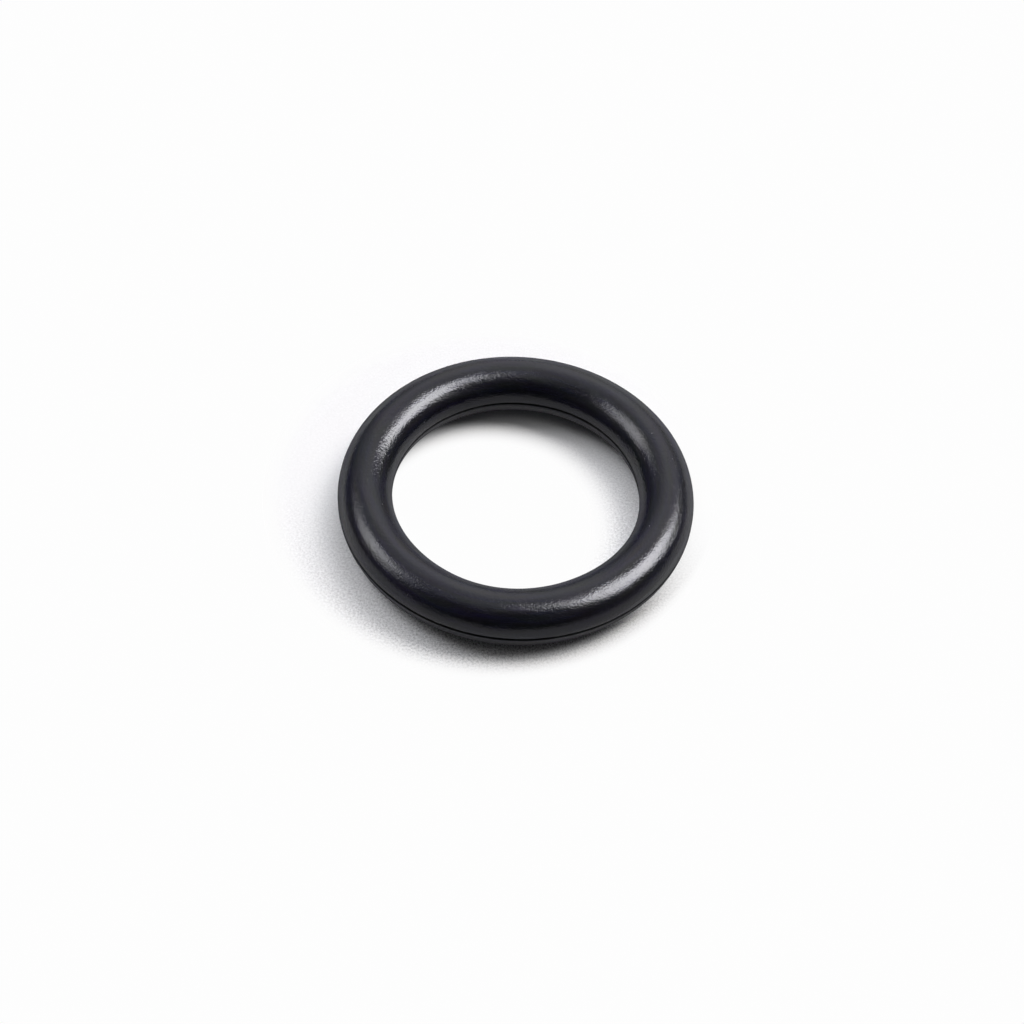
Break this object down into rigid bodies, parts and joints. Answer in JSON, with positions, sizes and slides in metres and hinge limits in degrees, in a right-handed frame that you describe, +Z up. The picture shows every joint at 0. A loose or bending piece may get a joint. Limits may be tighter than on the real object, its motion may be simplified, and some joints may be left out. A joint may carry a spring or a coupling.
{
  "type": "rubber o-ring",
  "caption": "Round ring moulded in black rubber, with a circular section and a fine parting line at its inside and outside.",
  "frame": {"origin": "on the ring's axis, in the plane of the surface that the ring lies flat on", "axes": "+Z up along the ring's axis; the ring is the same all round it"},
  "size_m": [0.026, 0.026, 0.004],
  "materials": {
    "rubber": "satin"
  },
  "bodies": {
    "root": {"o_ring": "rubber"}
  },
  "joints": []
}
